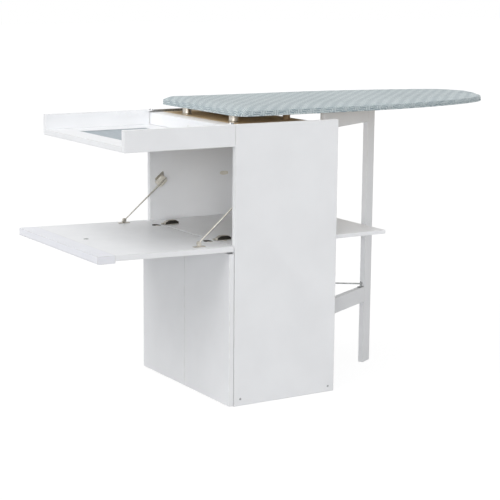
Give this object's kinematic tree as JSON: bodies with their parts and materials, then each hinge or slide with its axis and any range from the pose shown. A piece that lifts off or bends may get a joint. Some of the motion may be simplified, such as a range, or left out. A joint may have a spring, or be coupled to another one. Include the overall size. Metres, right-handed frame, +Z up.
{
  "type": "mirrored ironing board cabinet",
  "caption": "White cupboard with a flip-over mirrored lid, a drop-down writing flap and doors, and an ironing board that reaches out behind over a swinging gate leg and a folding rear shelf.",
  "frame": {"origin": "middle of the whole object's box, on the floor, with the lid, the flap and the gate leg open as in the picture", "axes": "+Z up, +Y to the nose of the ironing board, +X to the right of a user who stands at the writing flap"},
  "size_m": [0.572, 1.6042, 0.9252],
  "materials": {
    "white_board": "white faced chipboard, satin",
    "raw_board": "raw hardboard and plywood, matt",
    "hinge_steel": "nickel plated, satin",
    "dark_steel": "dark plated",
    "mirror_face": "silvered glass",
    "mirror_paint": "blue-grey painted board, matt",
    "white_plastic": "moulded, matt",
    "cover_fabric": "grey-blue striped cotton over thin padding"
  },
  "bodies": {
    "cabinet": {"side_panel_left": "white_board", "side_panel_right": "white_board", "bottom_panel": "white_board", "compartment_floor": "white_board", "top_front_rail": "white_board", "flap_magnet": "dark_steel", "top_panel": "raw_board", "back_panel": "white_board", "rear_rail_upper": "white_board", "rear_rail_lower": "white_board", "shelf_stop_rail": "white_board", "flap_hinge_arm_left": "hinge_steel", "flap_hinge_arm_right": "hinge_steel", "lid_hinge_fixed_left": "hinge_steel", "lid_hinge_fixed_right": "hinge_steel", "door_left_arm_lower": "hinge_steel", "door_left_arm_upper": "hinge_steel", "door_right_arm_lower": "hinge_steel", "door_right_arm_upper": "hinge_steel", "door_push_latch": "white_plastic", "gate_bracket_upper": "hinge_steel", "gate_bracket_lower": "hinge_steel", "rod_anchor": "hinge_steel", "board_cover": "cover_fabric", "board_core_front": "raw_board", "board_core_leaf": "raw_board", "leaf_hinge_strip": "hinge_steel", "board_spacer_front_left": "hinge_steel", "board_spacer_front_right": "hinge_steel", "board_spacer_rear_left": "raw_board", "board_spacer_rear_right": "raw_board"},
    "lid": {"lid_panel": "white_board", "lid_wall_left": "white_board", "lid_wall_right": "white_board", "mirror_glass": "mirror_face", "mirror_backing": "mirror_paint", "lid_hinge_strap_left": "hinge_steel", "lid_hinge_strap_right": "hinge_steel"},
    "flap": {"flap_panel": "white_board", "flap_hinge_cup_left": "hinge_steel", "flap_hinge_cup_right": "hinge_steel", "flap_strike": "dark_steel", "stay_foot_left": "hinge_steel", "stay_foot_right": "hinge_steel"},
    "stay_arm_left": {"stay_rod_left": "hinge_steel"},
    "stay_arm_right": {"stay_rod_right": "hinge_steel"},
    "stay_swivel_left": {"stay_housing_left": "hinge_steel"},
    "stay_swivel_right": {"stay_housing_right": "hinge_steel"},
    "left_door": {"door_left": "white_board", "door_left_cup_lower": "hinge_steel", "door_left_cup_upper": "hinge_steel"},
    "right_door": {"door_right": "white_board", "door_right_cup_lower": "hinge_steel", "door_right_cup_upper": "hinge_steel"},
    "gate": {"gate_leg": "white_board", "gate_top_rail": "white_board", "gate_lower_rail": "white_board", "rod_catch": "hinge_steel"},
    "shelf": {"rear_shelf": "white_board"},
    "rod": {"hook_rod": "hinge_steel"}
  },
  "joints": [
    {"name": "lid_hinge", "type": "hinge", "parent": "cabinet", "child": "lid", "pos_m": [0, -0.3367, 0.8805], "axis": [-1, 0, 0], "range_deg": [0, 180]},
    {"name": "flap_hinge", "type": "hinge", "parent": "cabinet", "child": "flap", "pos_m": [0, -0.35045, 0.498], "axis": [-1, 0, 0], "range_deg": [0, 88.7]},
    {"name": "stay_pin_left", "type": "hinge", "parent": "flap", "child": "stay_arm_left", "pos_m": [-0.2472, -0.44444, 0.52114], "axis": [1, 0, 0], "range_deg": [0, 108.8]},
    {"name": "stay_pin_right", "type": "hinge", "parent": "flap", "child": "stay_arm_right", "pos_m": [0.2472, -0.44444, 0.52114], "axis": [1, 0, 0], "range_deg": [0, 108.8]},
    {"name": "stay_turn_left", "type": "hinge", "parent": "cabinet", "child": "stay_swivel_left", "pos_m": [-0.265, -0.30195, 0.64], "axis": [1, 0, 0], "range_deg": [0, 20.1]},
    {"name": "stay_turn_right", "type": "hinge", "parent": "cabinet", "child": "stay_swivel_right", "pos_m": [0.265, -0.30195, 0.64], "axis": [1, 0, 0], "range_deg": [0, 20.1]},
    {"name": "left_door_hinge", "type": "hinge", "parent": "cabinet", "child": "left_door", "pos_m": [-0.283, -0.35395, 0.2435], "axis": [0, 0, -1], "range_deg": [0, 100]},
    {"name": "right_door_hinge", "type": "hinge", "parent": "cabinet", "child": "right_door", "pos_m": [0.283, -0.35395, 0.2435], "axis": [0, 0, 1], "range_deg": [0, 100]},
    {"name": "gate_swing", "type": "hinge", "parent": "cabinet", "child": "gate", "pos_m": [0.18, 0.05205, 0.45], "axis": [0, 0, 1], "range_deg": [0, 62]},
    {"name": "shelf_fold", "type": "hinge", "parent": "cabinet", "child": "shelf", "pos_m": [0, 0.02405, 0.502], "axis": [1, 0, 0], "range_deg": [0, 90]},
    {"name": "rod_swing", "type": "hinge", "parent": "cabinet", "child": "rod", "pos_m": [-0.148, 0.02705, 0.282], "axis": [0, 0, -1], "range_deg": [0, 55.98]}
  ],
  "couplings": [
    {"joint": "flap_hinge", "follows": "lid_hinge", "ratio": 0.49278},
    {"joint": "stay_pin_left", "follows": "lid_hinge", "ratio": 0.60444},
    {"joint": "stay_pin_right", "follows": "lid_hinge", "ratio": 0.60444},
    {"joint": "stay_turn_left", "follows": "lid_hinge", "ratio": 0.11167},
    {"joint": "stay_turn_right", "follows": "lid_hinge", "ratio": 0.11167},
    {"joint": "shelf_fold", "follows": "gate_swing", "ratio": 1.4516},
    {"joint": "rod_swing", "follows": "gate_swing", "ratio": 0.9029}
  ]
}
